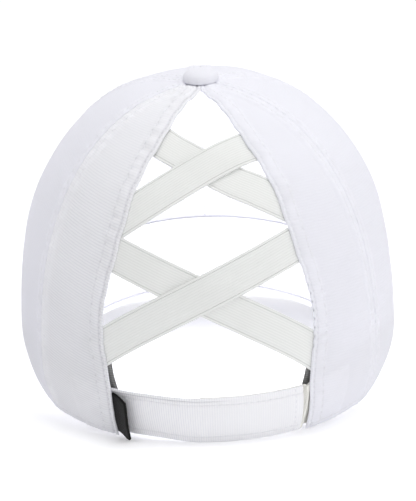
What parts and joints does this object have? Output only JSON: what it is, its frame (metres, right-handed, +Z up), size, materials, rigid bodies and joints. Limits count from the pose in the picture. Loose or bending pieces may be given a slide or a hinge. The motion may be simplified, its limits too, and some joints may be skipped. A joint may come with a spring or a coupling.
{
  "type": "ponytail baseball cap",
  "caption": "Six-panel baseball cap with an arched ponytail opening crossed by elastic straps, a strap closure, a sweatband, a button and a curved brim.",
  "frame": {"origin": "on the floor under the middle of the cap's box, as it rests on its back rim and brim", "axes": "+Z up, +Y towards the brim, +X to the right seen from behind"},
  "size_m": [0.17, 0.2654, 0.1511],
  "materials": {
    "crown_cloth": "white fine-ribbed woven cloth",
    "elastic": "off-white ribbed woven elastic",
    "loop_cloth": "cream brushed loop cloth",
    "band_cloth": "grey knitted sweatband",
    "label_cloth": "black woven satin label"
  },
  "bodies": {
    "root": {"back_panel_left": "crown_cloth", "back_panel_right": "crown_cloth", "side_panel_left": "crown_cloth", "side_panel_right": "crown_cloth", "front_panel_left": "crown_cloth", "front_panel_right": "crown_cloth", "button": "crown_cloth", "brim": "crown_cloth", "closure_strap": "crown_cloth", "closure_tab": "loop_cloth", "elastic_upper_under": "elastic", "elastic_upper_over": "elastic", "elastic_lower_under": "elastic", "elastic_lower_over": "elastic", "sweatband": "band_cloth", "side_label": "label_cloth"}
  },
  "joints": []
}
